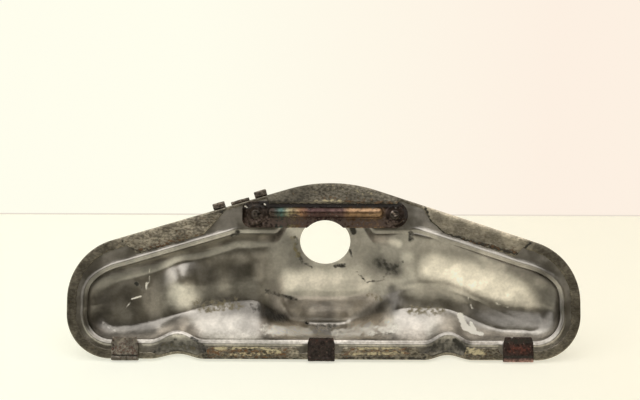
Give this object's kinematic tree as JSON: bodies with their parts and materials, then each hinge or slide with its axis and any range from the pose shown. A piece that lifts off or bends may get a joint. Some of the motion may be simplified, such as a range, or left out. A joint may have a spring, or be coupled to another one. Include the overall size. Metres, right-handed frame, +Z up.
{
  "type": "exhaust heat shield",
  "caption": "Pressed steel exhaust manifold heat shield with a hollow bowl, a hemmed flange, a sensor hole under a riveted strap, and clips along its bottom edge.",
  "frame": {"origin": "middle of the bounding box, on the surface that the shield stands on", "axes": "+X along the shield, +Y away from the hollow side, +Z up. The flange leans back about 22 degrees and the shield stands on its three clips and on the belly of its bowl."},
  "size_m": [0.431, 0.0722, 0.1397],
  "materials": {
    "outer_steel": "mottled, dull aluminised steel with rust along the hem",
    "inner_steel": "satin, stained aluminised steel",
    "burnt_steel": "dark, heat-tinted steel",
    "rivet_steel": "worn, dark steel",
    "rusty_steel": "rusted spring steel",
    "bracket_steel": "dull, lightly rusted steel"
  },
  "bodies": {
    "root": {"outer_skin": "outer_steel", "inner_skin": "inner_steel", "stiffener_strap": "burnt_steel", "strap_rivet_left": "rivet_steel", "strap_rivet_right": "rivet_steel", "edge_clip_left": "rusty_steel", "edge_clip_centre": "rusty_steel", "edge_clip_right": "rusty_steel", "edge_bracket": "bracket_steel"}
  },
  "joints": []
}
